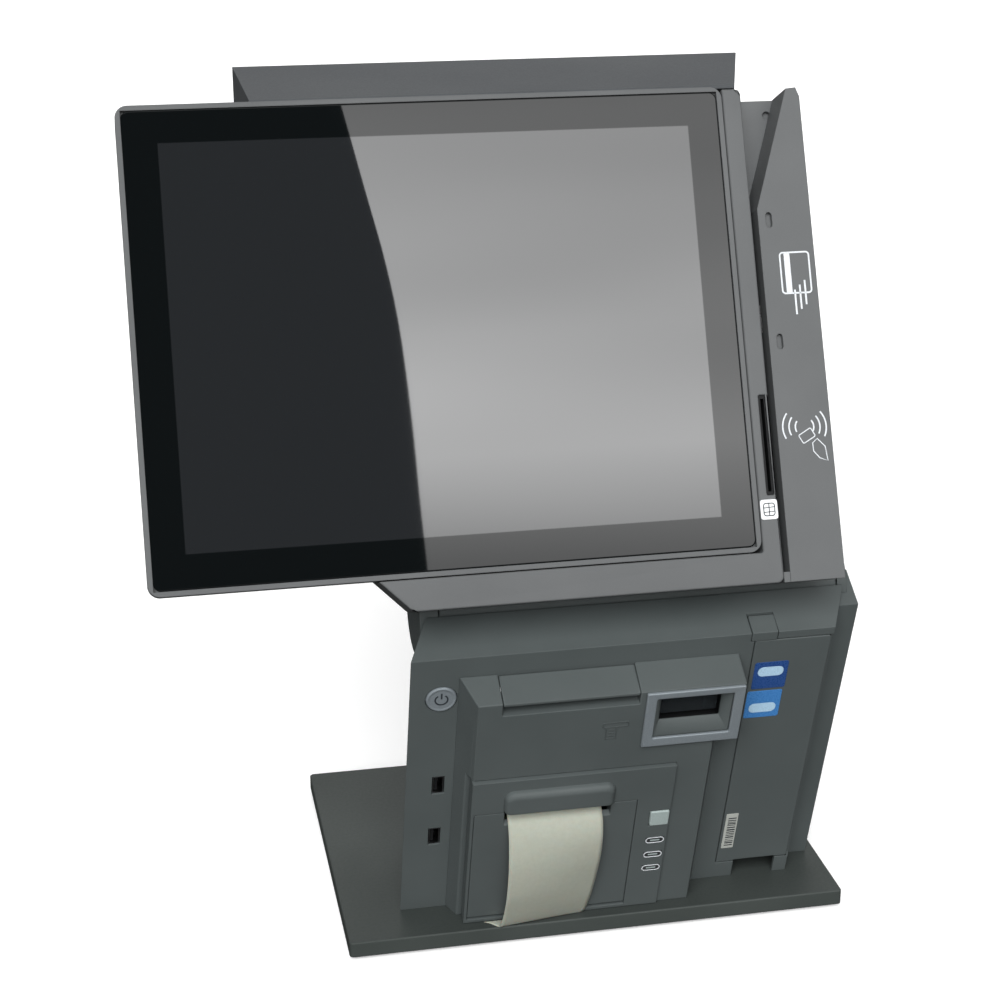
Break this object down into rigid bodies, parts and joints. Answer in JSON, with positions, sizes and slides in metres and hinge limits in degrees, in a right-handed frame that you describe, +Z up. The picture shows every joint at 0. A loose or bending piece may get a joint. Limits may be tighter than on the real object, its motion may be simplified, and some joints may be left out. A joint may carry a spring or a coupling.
{
  "type": "countertop ticket terminal",
  "caption": "Countertop self-service terminal with a tilting touch screen, swipe and chip card readers, code scanner, ticket printer and a heavy flat base plate.",
  "frame": {"origin": "centre of the bounding box at the level the rubber feet stand on", "axes": "+Z up, +X to the customer's right, the customer stands at -Y"},
  "size_m": [0.4276, 0.2704, 0.5166],
  "materials": {
    "dark_plastic": "fine textured, satin",
    "body_plastic": "fine textured, satin",
    "head_plastic": "fine textured, satin",
    "black_plastic": "matt",
    "silver_plastic": "satin silver",
    "button_plastic": "satin",
    "white_plastic": "satin",
    "steel_paint": "powder coated",
    "steel": "brushed",
    "rubber": "matt",
    "screen_glass": "polished, black border",
    "clear_glass": "polished",
    "display": "dark display",
    "paper": "smooth thermal paper",
    "sticker": "glossy sticker",
    "card": "plain",
    "board": "circuit board",
    "casing": "plain"
  },
  "bodies": {
    "stand": {"base_plate": "steel_paint", "base_feet": "rubber", "front_cover": "body_plastic", "rear_cover": "body_plastic", "rear_panel": "steel", "rear_sockets": "black_plastic", "hinge_end_caps": "body_plastic", "hinge_shaft": "steel", "power_ring": "black_plastic", "usb_shells": "steel", "usb_tongues": "black_plastic", "door_pins": "steel", "door_bay": "black_plastic", "bay_sockets": "black_plastic", "module_housing": "dark_plastic", "scanner_frame": "silver_plastic", "scanner_window": "clear_glass", "scanner_engine": "black_plastic", "printer_panel": "body_plastic", "cover_pin": "steel", "printer_frame": "black_plastic", "print_head": "casing", "tear_bar": "steel", "roll_spindle": "dark_plastic", "status_lights": "dark_plastic", "power_supply": "casing"},
    "head": {"hinge_drum": "dark_plastic", "screen_bezel": "black_plastic", "touch_glass": "screen_glass", "display_panel": "display", "head_frame": "head_plastic", "wing": "head_plastic", "reader_back": "head_plastic", "swipe_head": "steel", "chip_reader": "black_plastic", "chip_plate": "white_plastic", "head_housing": "head_plastic", "head_rear_panel": "head_plastic", "mainboard": "board"},
    "power_key": {"power_button": "silver_plastic"},
    "feed_key": {"feed_button": "button_plastic"},
    "catch": {"release_button": "dark_plastic"},
    "door": {"side_door": "body_plastic", "code_label": "paper", "stickers": "sticker"},
    "lid": {"module_flap": "dark_plastic"},
    "paper_door": {"printer_cover": "body_plastic", "platen_shaft": "steel"},
    "platen": {"platen_roller": "rubber"},
    "roll": {"paper_roll": "paper", "roll_core": "card"},
    "slip": {"ticket": "paper"}
  },
  "joints": [
    {"name": "head_tilt", "type": "hinge", "parent": "stand", "child": "head", "pos_m": [0.07375, -0.06669, 0.22208], "axis": [1, 0, 0], "range_deg": [-15, 10]},
    {"name": "power_press", "type": "slide", "parent": "stand", "child": "power_key", "axis": [0, 0.9548, 0.2974], "range_m": [0, 0.0015], "stiffness_N_per_m": 600},
    {"name": "feed_press", "type": "slide", "parent": "stand", "child": "feed_key", "axis": [0, 0.9548, 0.2974], "range_m": [0, 0.0012], "stiffness_N_per_m": 600},
    {"name": "catch_press", "type": "slide", "parent": "stand", "child": "catch", "axis": [0, 0.9548, 0.2974], "range_m": [0, 0.002], "stiffness_N_per_m": 500},
    {"name": "side_door_hinge", "type": "hinge", "parent": "stand", "child": "door", "pos_m": [0.18385, -0.08815, 0.11694], "axis": [0, -0.2974, 0.9548], "range_deg": [0, 100]},
    {"name": "flap_hinge", "type": "hinge", "parent": "stand", "child": "lid", "pos_m": [0.02315, -0.119, 0.19531], "axis": [-1, 0, 0], "range_deg": [0, 80]},
    {"name": "printer_cover_hinge", "type": "hinge", "parent": "stand", "child": "paper_door", "pos_m": [0.01965, -0.0795, 0.01972], "axis": [1, 0, 0], "range_deg": [0, 60]},
    {"name": "roll_spin", "type": "hinge", "parent": "stand", "child": "roll", "pos_m": [0.01875, -0.06045, 0.07425], "axis": [1, 0, 0], "continuous": true},
    {"name": "platen_spin", "type": "hinge", "parent": "paper_door", "child": "platen", "pos_m": [0.01865, -0.09175, 0.09906], "axis": [1, 0, 0], "continuous": true},
    {"name": "ticket_pull", "type": "slide", "parent": "stand", "child": "slip", "axis": [0, -1, 0], "range_m": [0, 0.16]}
  ],
  "couplings": [
    {"joint": "ticket_pull", "follows": "printer_cover_hinge", "m_per_rad": 0.15},
    {"joint": "platen_spin", "follows": "roll_spin", "ratio": 4}
  ]
}
